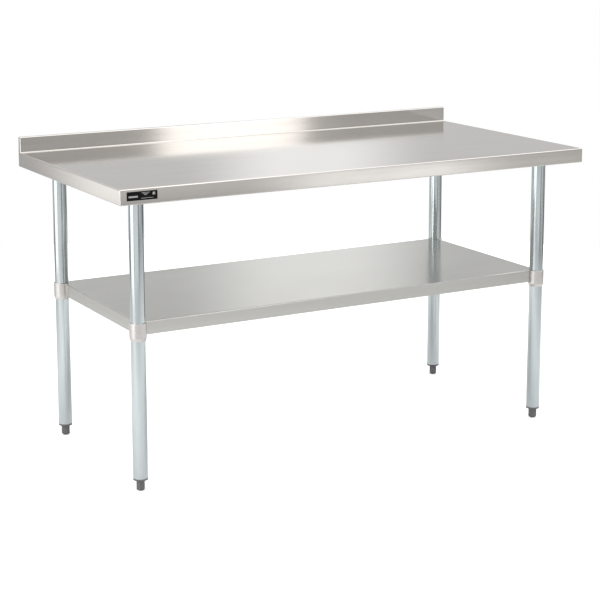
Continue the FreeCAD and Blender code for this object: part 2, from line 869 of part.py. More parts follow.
def threaded_stud(name, low):
    """A round bar with rings of thread, one pitch apart, above its foot."""
    radius = d.foot_stud_diameter / 2
    length = d.foot_stud_depth + d.foot_stud_reach
    body = new_body(name)
    section = sketch_on(body, "XY_Plane", low)
    circle(section, radius)
    pad(body, section, length)
    doc.recompute()
    plain_volume = body.Shape.Volume
    notch = sketch_on(body, "XZ_Plane")
    middle = d.foot_height + d.thread_pitch
    root = radius - d.thread_depth
    outside = radius + d.foot_stud_fit
    outline(
        notch,
        [
            (root, middle),
            (outside, middle - d.thread_mouth / 2),
            (outside, middle + d.thread_mouth / 2),
        ],
    )
    groove = body.newObject("PartDesign::Groove", f"{name}_groove")
    groove.Profile = notch
    groove.ReferenceAxis = (notch, ["V_Axis"])
    groove.Angle = FULL_TURN
    body.Tip = groove
    doc.recompute()
    if body.Shape.Volume >= plain_volume:
        raise RuntimeError(f"{name}: the groove cuts nothing")
    rings = body.newObject("PartDesign::LinearPattern", f"{name}_rings")
    rings.Originals = [groove]
    rings.Direction = (notch, ["V_Axis"])
    count = int(d.foot_stud_reach.number / d.thread_pitch.number) - 1
    rings.Occurrences = count
    bind(rings, Length=d.thread_pitch * (count - 1))
    body.Tip = rings
    return body


def build_label():
    """A thin plate on the front edge, near the left end."""
    left = d.label_inset - half_length
    top = d.top_height - d.label_drop
    plate = box(
        "label_plate",
        (left, -half_depth - d.label_gauge, top - d.label_height),
        (left + d.label_length, -half_depth, top),
    )
    label = rounded(
        "label_rounded", plate, d.label_corner, lambda edge: abs(direction_of(edge).y) > 0.5
    )
    keep(label, "front_label")


def check_and_write():
    """Stops on any failed object, then writes each sub-part's shape to its own file."""
    doc.recompute()
    failed = [made.Name for made in doc.Objects if {"Invalid", "Error"} & set(made.State)]
    if failed:
        raise RuntimeError(f"these objects failed: {failed}")
    for made in subparts:
        if made.Shape.isNull() or not made.Shape.isValid() or not made.Shape.Solids:
            raise RuntimeError(f"{made.Label} has no valid solid")
    os.makedirs("parts", exist_ok=True)
    for made in subparts:
        made.Shape.exportStep(f"parts/{made.Label}.step")
        print(made.Label, len(made.Shape.Solids), round(made.Shape.Volume))


build_worktop()
build_channels()
build_channel_fixings()
build_sockets()
build_legs()
build_inserts()
build_feet()
build_undershelf()
build_clamps()
build_label()
check_and_write()
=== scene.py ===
"""Finished pieces of a stainless work table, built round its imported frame.

Every length is in metres. +X runs along the table, +Y to the back and +Z up.
"""

import json
import math

import bmesh
import bpy
from bpy.props import FloatProperty, FloatVectorProperty, IntProperty, PointerProperty
from mathutils import Matrix, Vector


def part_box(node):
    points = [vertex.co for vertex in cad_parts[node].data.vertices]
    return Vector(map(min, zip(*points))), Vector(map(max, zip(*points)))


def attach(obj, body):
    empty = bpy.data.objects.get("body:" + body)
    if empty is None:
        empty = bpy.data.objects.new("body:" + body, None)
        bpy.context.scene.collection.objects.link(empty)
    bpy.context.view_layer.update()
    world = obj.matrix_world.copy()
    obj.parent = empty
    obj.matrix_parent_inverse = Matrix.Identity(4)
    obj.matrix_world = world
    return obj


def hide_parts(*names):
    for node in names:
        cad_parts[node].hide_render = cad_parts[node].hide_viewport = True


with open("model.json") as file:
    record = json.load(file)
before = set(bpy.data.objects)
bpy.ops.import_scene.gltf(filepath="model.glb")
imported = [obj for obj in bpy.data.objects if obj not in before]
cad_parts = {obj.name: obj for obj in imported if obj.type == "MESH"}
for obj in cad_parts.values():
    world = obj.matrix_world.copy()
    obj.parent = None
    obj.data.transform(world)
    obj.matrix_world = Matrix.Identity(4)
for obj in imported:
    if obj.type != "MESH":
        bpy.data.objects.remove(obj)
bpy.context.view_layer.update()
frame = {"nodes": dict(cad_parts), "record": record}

bl_info = {
    "name": "Stainless Work Table",
    "version": (1, 0, 0),
    "blender": (4, 5, 0),
    "location": "View3D > Sidebar > Work Table",
    "description": "Builds the finished pieces of a stainless work table round its frame",
    "category": "Add Mesh",
}

CORNERS = ("front_left", "front_right", "rear_right", "rear_left")
GRAIN = "grain"
UP = Vector((0, 0, 1))
MICRON = 1e-6

# Points closer than this are one point.
NEARNESS = 1e-6
# A face whose normal has more than this along X is on an end of a sheet.
END_FACE = 0.7
# Faces that meet at more than the first angle are joined by a rounded fold, and an edge past the
# second shows as a line.
FOLD_ANGLE = math.radians(30)
SHARP_ANGLE = math.radians(35)

SMALL_EDGE_STEPS = 3
FILM_EDGE_STEPS = 2
NOTCH_STEPS = 12
FLOOR_STEPS = 128

# Patterns of the finishes, as features a metre. On sheet they go along and across its grain.
HAIRLINES = (14, 2600, 1)
STREAKS = (1.1, 70, 1)
SMUDGES = (3.2, 4.5, 1)
WAVES = (1.5, 2.4, 1)
DRAW_LINES = (900, 900, 3)
CLOUDS = (60, 60, 14)
PATCHES = (9, 9, 4)
RUNS = (170, 170, 2)
CRYSTALS = 130
GRIME = (14, 14, 14)
CAST_SKIN = (420, 420, 420)
PITS = (1500, 1500, 1500)
RUBBED = (30, 30, 60)
MOULD_GRAIN = (1800, 1800, 1800)
SCUFFS = (160, 160, 60)
DULLED = (220, 220, 220)
TURNED_LINES = (300, 300, 3000)
FLOOR_CLOUDS = (0.8, 0.8, 0.8)

# The label's print, as shares of its length and height: start, end and foot of the thick bar and
# of the thin lines, and start, foot and side of the square.
LABEL_BAR = (0.06, 0.36, 0.34)
LABEL_LINES = (
    (0.48, 0.74, 0.80),
    (0.52, 0.70, 0.68),
    (0.56, 0.66, 0.56),
    (0.46, 0.86, 0.20),
)
LABEL_SQUARE = (0.84, 0.52, 0.3)

# The floor: its tone; its painted glow in the middle, seen only by the camera, which washes out
# the table's shadow on it; its tone at the rim, a painted shade that the metal mirrors as the
# room's falloff; and the share of its radius past which it turns white to the camera and darker to
# reflections.
FLOOR_TONE = 0.74
FLOOR_PAINTED_GLOW = 0.44
FLOOR_RIM_PAINTED_SHADE = 0.40
FLOOR_MIDDLE = 0.45

# Tones of the room that the metal mirrors.
ROOM_LOW = 0.32
ROOM_WALL = 0.58
ROOM_BEHIND = 0.635
ROOM_CEILING = 1.75

# Where one tone of the room turns into the next, as parts of a direction of length 1: upwards for
# the ceiling and the low part, to the back for the rear wall, upwards where that one fades, and
# towards a light panel where its own side of the room starts.
CEILING_RISE = (0.3, 0.58)
LOW_RISE = (-0.35, 0.02)
REAR_RISE = (0.0, 0.5)
REAR_FADE = (0.2, 0.6)
PANEL_RISE = (0.0, 0.1)

# Light panels of the room: heading from +Y towards +X, height, half width and half height in
# degrees, the blur of their edges as a share of those, and how much they brighten the room. A
# panel below 0 is a dark patch.
PANELS = (
    (29.7, 9, 2.7, 3.4, 0.7, 0.38),
    (30.1, 16, 3.4, 4.5, 0.6, 0.50),
    (153.0, 17, 2.5, 19, 0.12, 1.5),
    (150.0, -9.4, 10, 1.3, 0.25, 0.33),
    (147.7, -9.6, 3.4, 1.3, 0.5, 0.75),
    (-27.6, -9.6, 6.3, 1.5, 0.25, 0.8),
    (272.0, -6, 27, 14, 0.15, 1.4),
    (208.0, -14, 30, 5, 0.12, 0.66),
    (157.0, -14.2, 14, 3.4, 0.15, -0.12),
    (121.0, -14, 13, 4, 0.25, 0.30),
    (75.0, -14, 31, 4, 0.2, -0.28),
    (325.0, -14.6, 19, 3.6, 0.2, -0.18),
)

# Softboxes: name, place, aim, size and power in watts.
SOFTBOXES = (
    ("left", (-2.8, -0.6, 0.75), (-2.4, -0.6, 0.0), (0.8, 1.6), 14),
)

MOUNTS = {mount["name"]: mount for mount in frame["record"]["mounts"]}
TOP_HEIGHT = MOUNTS["work_surface"]["pos_m"][2]


def size_of(name, text, default):
    """A length in metres that a user can change."""
    return FloatProperty(
        name=name, description=text, default=default, min=0, unit="LENGTH", precision=4
    )


def colour_of(name, text, default):
    """A surface colour that a user can change."""
    return FloatVectorProperty(
        name=name, description=text, default=default, min=0, max=1, size=3, subtype="COLOR"
    )


def share_of(name, text, default):
    """A share from 0 to 1 that a user can change."""
    return FloatProperty(
        name=name, description=text, default=default, min=0, max=1, subtype="FACTOR"
    )


class SheetSettings(bpy.types.PropertyGroup):
    """Sizes of the folded sheets."""

    top_gauge: size_of("Top gauge", "Thickness of the worktop", 0.0012)
    top_lip: size_of("Top lip", "Width of the lip under the worktop's edges", 0.012)
    fold: size_of("Fold", "Outer radius of a fold", 0.0025)
    splash_return: size_of("Return", "Depth of the fold along the upstand's top", 0.015)
    splash_drop: size_of("Drop", "Height of the drop behind that fold", 0.008)
    shelf_gauge: size_of("Shelf gauge", "Thickness of the undershelf", 0.001)
    shelf_lip: size_of("Shelf lip", "Width of the lip under the undershelf's edges", 0.010)
    shelf_fold: size_of("Shelf fold", "Outer radius of the undershelf's folds", 0.0023)
    notch: size_of("Notch", "Leg's axis to the undershelf's cut-away corner", 0.02475)
    fold_steps: IntProperty(
        name="Fold steps", description="Segments round a fold", default=4, min=1, max=12
    )


class TubeSettings(bpy.types.PropertyGroup):
    """Sizes of the turned pieces."""

    wall: size_of("Wall", "Wall of a leg tube", 0.0015)
    steps: IntProperty(
        name="Steps", description="Segments round a leg", default=96, min=12, max=256
    )
    edge: size_of("Edge", "Radius of a small turned edge", 0.0006)


class LabelSettings(bpy.types.PropertyGroup):
    """Sizes of the label on the front edge."""

    line: size_of("Line", "Height of the thin printed lines", 0.0011)
    relief: size_of("Relief", "Thickness of the print", 0.0001)
    bar: size_of("Bar", "Height of the printed bar on the left", 0.0045)


class FinishSettings(bpy.types.PropertyGroup):
    """Colours and gloss of the finishes."""

    stainless: colour_of("Stainless", "Brushed worktop", (0.665, 0.637, 0.606))
    satin: colour_of("Satin", "Undershelf", (0.535, 0.53, 0.505))
    zinc: colour_of("Zinc", "Plated legs", (0.56, 0.605, 0.615))
    galvanised: colour_of("Galvanised", "Channels and sockets", (0.55, 0.57, 0.58))
    cast: colour_of("Cast", "Shelf clamps", (0.64, 0.62, 0.60))
    socket: colour_of("Socket", "Leg sockets", (0.48, 0.49, 0.50))
    fastener: colour_of("Fastener", "Screws, studs and nuts", (0.60, 0.60, 0.58))
    plastic: colour_of("Plastic", "Feet and inserts", (0.115, 0.115, 0.115))
    glide: colour_of("Glide", "Glides under the feet", (0.05, 0.05, 0.05))
    film: colour_of("Film", "Label", (0.004, 0.004, 0.0045))
    ink: colour_of("Ink", "Print on the label", (0.34, 0.34, 0.34))
    stainless_gloss: share_of("Stainless roughness", "Roughness of the worktop", 0.085)
    satin_gloss: share_of("Satin roughness", "Roughness of the undershelf", 0.16)
    zinc_gloss: share_of("Zinc roughness", "Roughness of the legs", 0.1)
    galvanised_gloss: share_of("Galvanised roughness", "Roughness of the channels", 0.38)
    socket_gloss: share_of("Socket roughness", "Roughness of the leg sockets", 0.45)
    cast_gloss: share_of("Cast roughness", "Roughness of the shelf clamps", 0.27)
    fastener_gloss: share_of("Fastener roughness", "Roughness of the fasteners", 0.3)
    plastic_gloss: share_of("Plastic roughness", "Roughness of the feet", 0.5)
    glide_gloss: share_of("Glide roughness", "Roughness of the glides", 0.42)
    film_gloss: share_of("Film roughness", "Roughness of the label", 0.42)
    film_shine: share_of("Film shine", "Strength of the label's reflection", 0.12)
    ink_gloss: share_of("Ink roughness", "Roughness of the label's print", 0.45)
    stainless_streaks: share_of("Stainless streaks", "Contrast of the worktop's streaks", 0.07)
    satin_streaks: share_of("Satin streaks", "Contrast of the undershelf's streaks", 0.035)


class StageSettings(bpy.types.PropertyGroup):
    """Floor, light and camera."""

    camera_place: FloatVectorProperty(
        name="Camera",
        description="Place of the camera",
        default=(-2.4332, -4.3036, 1.5988),
        size=3,
        subtype="TRANSLATION",
        unit="LENGTH",
    )
    camera_yaw: FloatProperty(
        name="Yaw",
        description="Heading of the camera, from +Y towards +X",
        default=math.radians(29.381),
        subtype="ANGLE",
    )
    camera_pitch: FloatProperty(
        name="Pitch",
        description="Tilt of the camera below the horizon",
        default=math.radians(10.178),
        subtype="ANGLE",
    )
    sensor: FloatProperty(name="Sensor", description="Sensor's width in mm", default=36, min=1)
    lens: FloatProperty(name="Lens", description="Focal length in mm", default=99.34, min=1)
    rise: FloatProperty(name="Rise", description="Upright lens shift", default=-0.1667)
    depth: size_of("Depth", "How far the camera sees", 60)
    floor_radius: size_of("Floor", "Radius of the pale floor", 3.0)


class TableSettings(bpy.types.PropertyGroup):
    """All settings of the table."""

    sheet: PointerProperty(type=SheetSettings)
    tube: PointerProperty(type=TubeSettings)
    label: PointerProperty(type=LabelSettings)
    finish: PointerProperty(type=FinishSettings)
    stage: PointerProperty(type=StageSettings)


# Materials.


def add_node(tree, kind, **settings):
    """A new node with its settings, where a name in `inputs` sets a socket."""
    made = tree.nodes.new(kind)
    for name, value in settings.pop("inputs", {}).items():
        made.inputs[name].default_value = value
    for name, value in settings.items():
        setattr(made, name, value)
    return made


def new_material(name, **sockets):
    """A material and its Principled shader, with plain values set on its sockets."""
    material = bpy.data.materials.new(name)
    material.use_nodes = True
    shader = material.node_tree.nodes["Principled BSDF"]
    for socket, value in sockets.items():
        shader.inputs[socket.replace("_", " ")].default_value = value
    return material, material.node_tree, shader


def coordinates(tree, on_grain):
    """The grain's own map, or the place on the object."""
    if on_grain:
        return add_node(tree, "ShaderNodeUVMap", uv_map=GRAIN).outputs["UV"]
    return add_node(tree, "ShaderNodeTexCoord").outputs["Object"]


def noise(tree, vector, stretch, detail=2.0, roughness=0.5):
    """Noise with so many features a metre along each axis."""
    mapping = add_node(tree, "ShaderNodeMapping", inputs={"Scale": stretch})
    tree.links.new(vector, mapping.inputs["Vector"])
    made = add_node(
        tree,
        "ShaderNodeTexNoise",
        inputs={"Scale": 1.0, "Detail": detail, "Roughness": roughness},
    )
    tree.links.new(mapping.outputs["Vector"], made.inputs["Vector"])
    return made.outputs["Fac"]


def spread(tree, value, low, high, start=0.3, end=0.7):
    """A value stretched from the range start to end into low to high."""
    made = add_node(
        tree,
        "ShaderNodeMapRange",
        inputs={"From Min": start, "From Max": end, "To Min": low, "To Max": high},
    )
    tree.links.new(value, made.inputs["Value"])
    return made.outputs["Result"]


def total(tree, first, second, operation="ADD"):
    """Two values added, or joined by another operation."""
    made = add_node(tree, "ShaderNodeMath", operation=operation)
    tree.links.new(first, made.inputs[0])
    tree.links.new(second, made.inputs[1])
    return made.outputs["Value"]


def tint(tree, value, colour, darker, lighter):
    """The colour from a darker to a lighter share of itself, by a value from 0 to 1.

    Sockets 6, 7 and 2 are the node's two colours and its result, whose names it uses twice.
    """
    made = add_node(tree, "ShaderNodeMix", data_type="RGBA")
    made.inputs[6].default_value = (*(channel * darker for channel in colour), 1)
    made.inputs[7].default_value = (*(min(1, channel * lighter) for channel in colour), 1)
    tree.links.new(value, made.inputs[0])
    return made.outputs[2]


def panel(tree, direction, heading, height, half_width, half_height, blur):
    """1 where a direction meets a light panel, 0 elsewhere, with blurred edges.

    The direction is turned until the panel is ahead along Y, where its slopes give the distance
    from the panel's middle.
    """
    turned_to = add_node(tree, "ShaderNodeVectorRotate", rotation_type="Z_AXIS")
    turned_to.inputs["Angle"].default_value = math.radians(heading)
    tree.links.new(direction, turned_to.inputs["Vector"])
    parts = add_node(tree, "ShaderNodeSeparateXYZ")
    tree.links.new(turned_to.outputs["Vector"], parts.inputs["Vector"])
    inside = spread(tree, parts.outputs["Y"], 0.0, 1.0, *PANEL_RISE)
    for axis, middle, half in (("X", 0, half_width), ("Z", height, half_height)):
        slope = total(tree, parts.outputs[axis], parts.outputs["Y"], "DIVIDE")
        gap = add_node(tree, "ShaderNodeMath", operation="SUBTRACT")
        gap.inputs[1].default_value = math.tan(math.radians(middle))
        tree.links.new(slope, gap.inputs[0])
        distance = add_node(tree, "ShaderNodeMath", operation="ABSOLUTE")
        tree.links.new(gap.outputs["Value"], distance.inputs[0])
        reach = math.tan(math.radians(half))
        edge = add_node(
            tree,
            "ShaderNodeMapRange",
            interpolation_type="SMOOTHSTEP",
            inputs={
                "From Min": reach * (1 - blur),
                "From Max": reach * (1 + blur),
                "To Min": 1.0,
                "To Max": 0.0,
            },
        )
        tree.links.new(distance.outputs["Value"], edge.inputs["Value"])
        inside = total(tree, inside, edge.outputs["Result"], "MULTIPLY")
    return inside


def bump(tree, shader, *layers):
    """Bumps laid over each other, each a value and its depth in metres."""
    below = None
    for value, depth in layers:
        made = add_node(tree, "ShaderNodeBump", inputs={"Strength": 1.0, "Distance": depth})
        tree.links.new(value, made.inputs["Height"])
        if below:
            tree.links.new(below, made.inputs["Normal"])
        below = made.outputs["Normal"]
    tree.links.new(below, shader.inputs["Normal"])


def brushed_sheet(name, colour, roughness, contrast):
    """Stainless sheet brushed along its grain, gently wavy, with smudges and fine scratches."""
    material, tree, shader = new_material(
        name, Metallic=1.0, Anisotropic=0.75, Anisotropic_Rotation=0.25
    )
    place = coordinates(tree, on_grain=True)
    hairlines = noise(tree, place, HAIRLINES, detail=3)
    streaks = noise(tree, place, STREAKS, detail=5, roughness=0.65)
    smudges = noise(tree, place, SMUDGES, detail=5, roughness=0.6)
    waves = noise(tree, place, WAVES, detail=1)
    shade = total(tree, spread(tree, streaks, 0.0, 0.65), spread(tree, smudges, 0.0, 0.35))
    base = tint(tree, shade, colour, 1 - contrast, 1 + contrast)
    tree.links.new(base, shader.inputs["Base Color"])
    gloss = total(
        tree,
        spread(tree, hairlines, roughness * 0.78, roughness * 1.02),
        spread(tree, smudges, 0.0, roughness * 0.25),
    )
    tree.links.new(gloss, shader.inputs["Roughness"])
    tangent = add_node(tree, "ShaderNodeTangent", direction_type="UV_MAP", uv_map=GRAIN)
    tree.links.new(tangent.outputs["Tangent"], shader.inputs["Tangent"])
    bump(tree, shader, (waves, 200 * MICRON), (streaks, 5 * MICRON), (hairlines, 1.8 * MICRON))
    return material


def plated_tube(name, colour, roughness):
    """Bright zinc plate on drawn tube: faint draw lines and cloudy, bluish patches."""
    material, tree, shader = new_material(name, Metallic=1.0)
    place = coordinates(tree, on_grain=False)
    draw_lines = noise(tree, place, DRAW_LINES, detail=2)
    clouds = noise(tree, place, CLOUDS, detail=4, roughness=0.6)
    patches = noise(tree, place, PATCHES, detail=2)
    runs = noise(tree, place, RUNS, detail=3)
    shade = total(tree, spread(tree, clouds, 0.0, 0.3), spread(tree, patches, 0.0, 0.3))
    shade = total(tree, shade, spread(tree, runs, 0.0, 0.4))
    tree.links.new(tint(tree, shade, colour, 0.88, 1.08), shader.inputs["Base Color"])
    gloss = total(
        tree,
        spread(tree, clouds, roughness * 0.85, roughness * 1.25),
        spread(tree, draw_lines, 0.0, 0.03),
    )
    tree.links.new(gloss, shader.inputs["Roughness"])
    bump(tree, shader, (clouds, 4 * MICRON), (runs, 4 * MICRON), (draw_lines, 2 * MICRON))
    return material


def spangled(name, colour, roughness):
    """Hot-dip galvanised sheet with crystals of different gloss."""
    material, tree, shader = new_material(name, Metallic=1.0)
    place = coordinates(tree, on_grain=False)
    crystals = add_node(tree, "ShaderNodeTexVoronoi", inputs={"Scale": CRYSTALS})
    tree.links.new(place, crystals.inputs["Vector"])
    facet = add_node(tree, "ShaderNodeSeparateColor")
    tree.links.new(crystals.outputs["Color"], facet.inputs["Color"])
    grime = noise(tree, place, GRIME, detail=5, roughness=0.6)
    shade = total(
        tree,
        spread(tree, facet.outputs["Red"], 0.0, 0.6, 0.0, 1.0),
        spread(tree, grime, 0.0, 0.4),
    )
    tree.links.new(tint(tree, shade, colour, 0.82, 1.12), shader.inputs["Base Color"])
    gloss = spread(tree, facet.outputs["Green"], roughness * 0.8, roughness * 1.3, 0.0, 1.0)
    tree.links.new(gloss, shader.inputs["Roughness"])
    bump(tree, shader, (grime, 60 * MICRON), (facet.outputs["Blue"], 10 * MICRON))
    return material


def cast_metal(name, colour, roughness):
    """Tumbled aluminium casting: soft grain, small pits and rubbed high spots."""
    material, tree, shader = new_material(name, Metallic=1.0)
    place = coordinates(tree, on_grain=False)
    skin = noise(tree, place, CAST_SKIN, detail=3, roughness=0.6)
    pits = noise(tree, place, PITS, detail=1)
    rubbed = noise(tree, place, RUBBED, detail=3)
    tree.links.new(tint(tree, rubbed, colour, 0.92, 1.06), shader.inputs["Base Color"])
    gloss = total(
        tree,
        spread(tree, rubbed, roughness * 0.85, roughness * 1.15),
        spread(tree, skin, 0.0, 0.06),
    )
    tree.links.new(gloss, shader.inputs["Roughness"])
    bump(tree, shader, (skin, 40 * MICRON), (pits, 12 * MICRON))
    return material


def moulded(name, colour, roughness, shine=0.5):
    """Moulded plastic with a fine spark-eroded grain, scuffed pale on its high spots."""
    material, tree, shader = new_material(name, Metallic=0.0, Specular_IOR_Level=shine)
    place = coordinates(tree, on_grain=False)
    grain = noise(tree, place, MOULD_GRAIN, detail=2)
    scuffs = noise(tree, place, SCUFFS, detail=5, roughness=0.65)
    tree.links.new(tint(tree, scuffs, colour, 0.75, 1.35), shader.inputs["Base Color"])
    gloss = total(
        tree,
        spread(tree, scuffs, roughness * 0.85, roughness * 1.15),
        spread(tree, grain, 0.0, 0.08),
    )
    tree.links.new(gloss, shader.inputs["Roughness"])
    bump(tree, shader, (grain, 30 * MICRON))
    return material


def plated_steel(name, colour, roughness):
    """Zinc-plated fasteners: turned lines and dulled patches."""
    material, tree, shader = new_material(name, Metallic=1.0)
    place = coordinates(tree, on_grain=False)
    dulled = noise(tree, place, DULLED, detail=4, roughness=0.6)
    lines = noise(tree, place, TURNED_LINES, detail=1)
    tree.links.new(tint(tree, dulled, colour, 0.8, 1.1), shader.inputs["Base Color"])
    gloss = total(
        tree,
        spread(tree, dulled, roughness * 0.8, roughness * 1.3),
        spread(tree, lines, 0.0, 0.05),
    )
    tree.links.new(gloss, shader.inputs["Roughness"])
    bump(tree, shader, (dulled, 10 * MICRON), (lines, 4 * MICRON))
    return material


def material_of(context, name):
    """The finish with that name, made the first time it is asked for."""
    if name in bpy.data.materials:
        return bpy.data.materials[name]
    finish = context.scene.work_table.finish
    makers = {
        "brushed stainless": lambda: brushed_sheet(
            name, finish.stainless, finish.stainless_gloss, finish.stainless_streaks
        ),
        "satin stainless": lambda: brushed_sheet(
            name, finish.satin, finish.satin_gloss, finish.satin_streaks
        ),
        "zinc plate": lambda: plated_tube(name, finish.zinc, finish.zinc_gloss),
        "galvanised": lambda: spangled(name, finish.galvanised, finish.galvanised_gloss),
        "socket steel": lambda: spangled(name, finish.socket, finish.socket_gloss),
        "cast aluminium": lambda: cast_metal(name, finish.cast, finish.cast_gloss),
        "foot plastic": lambda: moulded(name, finish.plastic, finish.plastic_gloss),
        "glide plastic": lambda: moulded(name, finish.glide, finish.glide_gloss),
        "plated fastener": lambda: plated_steel(name, finish.fastener, finish.fastener_gloss),
        "label film": lambda: moulded(name, finish.film, finish.film_gloss, finish.film_shine),
        "label print": lambda: moulded(name, finish.ink, finish.ink_gloss),
    }
    return makers[name]()


# Meshes.


def add_piece(context, bm, name, finish, body="frame"):
    """Turns a bmesh into a finished piece in place, which rides on a body."""
    bmesh.ops.recalc_face_normals(bm, faces=bm.faces)
    mesh = bpy.data.meshes.new(name)
    bm.to_mesh(mesh)
    bm.free()
    mesh.shade_smooth()
    mesh.set_sharp_from_angle(angle=SHARP_ANGLE)
    mesh.materials.append(material_of(context, finish))
    piece = bpy.data.objects.new(name, mesh)
    context.scene.collection.objects.link(piece)
    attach(piece, body)
    return piece


def dress(context, finish, *nodes):
    """Gives CAD nodes a finish."""
    for name in nodes:
        for slot in frame["nodes"][name].material_slots:
            slot.material = material_of(context, finish)


def points_in(geometry):
    """The vertices among what an operator has made."""
    return [item for item in geometry if isinstance(item, bmesh.types.BMVert)]


def edges_at(bm, test):
    """The edges whose two ends both pass a test."""
    return [edge for edge in bm.edges if all(test(vert.co) for vert in edge.verts)]


def near(value, target):
    """Whether two places along an axis are the same."""
    return abs(value - target) < NEARNESS


def add_block(bm, low, high):
    """A block between its lowest and its highest corner."""
    low, high = Vector(low), Vector(high)
    matrix = Matrix.Translation((low + high) / 2) @ Matrix.Diagonal((*(high - low), 1))
    bmesh.ops.create_cube(bm, size=1, matrix=matrix)


def push(bm, edges, offset):
    """Extrudes edges by an offset and returns the edges that moved."""
    made = bmesh.ops.extrude_edge_only(bm, edges=edges)["geom"]
    moved = points_in(made)
    bmesh.ops.translate(bm, verts=moved, vec=offset)
    return [
        item
        for item in made
        if isinstance(item, bmesh.types.BMEdge) and all(vert in moved for vert in item.verts)
    ]


def round_folds(bm, radius, steps):
    """Rounds every edge between two faces that meet at an angle."""
    folds = [
        edge
        for edge in bm.edges
        if len(edge.link_faces) == 2 and edge.calc_face_angle() > FOLD_ANGLE
    ]
    bmesh.ops.bevel(
        bm,
        geom=folds,
        offset=radius,
        offset_type="OFFSET",
        segments=steps,
        profile=0.5,
        affect="EDGES",
        clamp_overlap=True,
        material=-1,
    )


def lay_grain(bm):
    """Maps U along the grain, which runs along X, and along Y on the sheet's ends."""
    layer = bm.loops.layers.uv.new(GRAIN)
    for face in bm.faces:
        normal = face.normal
        for loop in face.loops:
            x, y, z = loop.vert.co
            if abs(normal.x) > END_FACE:
                loop[layer].uv = (y, z)
            elif abs(normal.z) > abs(normal.y):
                loop[layer].uv = (x, y)
            else:
                loop[layer].uv = (x, z)


def keep_flat(piece):
    """Lets large faces keep their own normals beside small rounded edges."""
    flat = piece.modifiers.new("flat_faces", "WEIGHTED_NORMAL")
    flat.keep_sharp = True


def thicken(piece, gauge):
    """Gives a skin its thickness, inwards."""
    solid = piece.modifiers.new("gauge", "SOLIDIFY")
    solid.thickness = gauge
    solid.offset = -1
    solid.use_even_offset = True
    keep_flat(piece)


def turned(profile, centre, steps, edge):
    """A ring turned round an upright axis, from points given as radius and height."""
    bm = bmesh.new()
    side = UP.orthogonal().normalized()
    verts = [bm.verts.new(centre + side * radius + UP * height) for radius, height in profile]
    for first, second in zip(verts, verts[1:] + verts[:1]):
        bm.edges.new((first, second))
    bmesh.ops.bevel(
        bm,
        geom=list(bm.verts),
        offset=edge,
        offset_type="OFFSET",
        segments=SMALL_EDGE_STEPS,
        profile=0.5,
        affect="VERTICES",
        material=-1,
    )
    bmesh.ops.spin(
        bm,
        geom=list(bm.verts) + list(bm.edges),
        cent=centre,
        axis=UP,
        angle=math.tau,
        steps=steps,
        use_merge=True,
    )
    bmesh.ops.remove_doubles(bm, verts=bm.verts, dist=NEARNESS)
    return bm


def axis_of(node):
    """The upright axis of a round node, as a point on the floor."""
    low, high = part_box(node)
    middle = (low + high) / 2
    return Vector((middle.x, middle.y, 0))


class TablePiece:
    """What every operator that builds a piece shares."""

    bl_options = {"REGISTER", "UNDO"}

    def execute(self, context):
        self.build(context, context.scene.work_table)
        return {"FINISHED"}


class TABLE_OT_worktop(TablePiece, bpy.types.Operator):
    """Folds the worktop: edges turned down and in, and an upstand with closed ends"""

    bl_idname = "work_table.worktop"
    bl_label = "Worktop"

    def build(self, context, table):
        sizes = table.sheet
        low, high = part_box("worktop")
        face_y = high.y - sizes.splash_return
        bm = bmesh.new()
        add_block(bm, low, (high.x, face_y, TOP_HEIGHT))
        open_sides = [face for face in bm.faces if face.normal.z < -0.5 or face.normal.y > 0.5]
        bmesh.ops.delete(bm, geom=open_sides, context="FACES")
        self.turn_in_lips(bm, low.z, sizes.top_lip)
        # The side faces and their lips go on to the back, but the top ends at the upstand's foot.
        sides = [
            edge
            for edge in edges_at(bm, lambda at: near(at.y, face_y))
            if len(edge.link_faces) == 1 and edge.verts[0].co.x * edge.verts[1].co.x > 0
        ]
        push(bm, sides, (0, sizes.splash_return, 0))
        rising = edges_at(bm, lambda at: near(at.y, face_y) and near(at.z, TOP_HEIGHT))
        for offset in (
            (0, 0, high.z - TOP_HEIGHT),
            (0, sizes.splash_return, 0),
            (0, 0, -sizes.splash_drop),
        ):
            rising = push(bm, rising, offset)
        self.close_ends(bm, face_y, high)
        bmesh.ops.remove_doubles(bm, verts=bm.verts, dist=NEARNESS)
        bmesh.ops.recalc_face_normals(bm, faces=bm.faces)
        round_folds(bm, sizes.fold, sizes.fold_steps)
        lay_grain(bm)
        piece = add_piece(context, bm, "worktop_sheet", "brushed stainless")
        thicken(piece, sizes.top_gauge)
        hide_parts("worktop")

    def turn_in_lips(self, bm, floor_z, lip):
        """Extrudes the bottom edges and draws their new points towards the middle."""
        rim = edges_at(bm, lambda at: near(at.z, floor_z))
        made = bmesh.ops.extrude_edge_only(bm, edges=rim)
        front = min(vert.co.y for vert in bm.verts)
        for vert in points_in(made["geom"]):
            vert.co.x -= math.copysign(lip, vert.co.x)
            if near(vert.co.y, front):
                vert.co.y += lip

    def close_ends(self, bm, face_y, high):
        """Closes both ends of the upstand, down to the worktop's end faces."""
        for side in (-high.x, high.x):
            rim = edges_at(
                bm,
                lambda at: near(at.x, side)
                and at.y > face_y - NEARNESS
                and at.z > TOP_HEIGHT - NEARNESS,
            )
            back = [
                vert
                for vert in {vert for edge in rim for vert in edge.verts}
                if near(vert.co.y, high.y)
            ]
            back.sort(key=lambda vert: vert.co.z)
            joint = bmesh.ops.contextual_create(bm, geom=back[:2])
            rim = [edge for edge in rim if len(edge.link_faces) == 1]
            bmesh.ops.contextual_create(bm, geom=rim + joint["edges"])


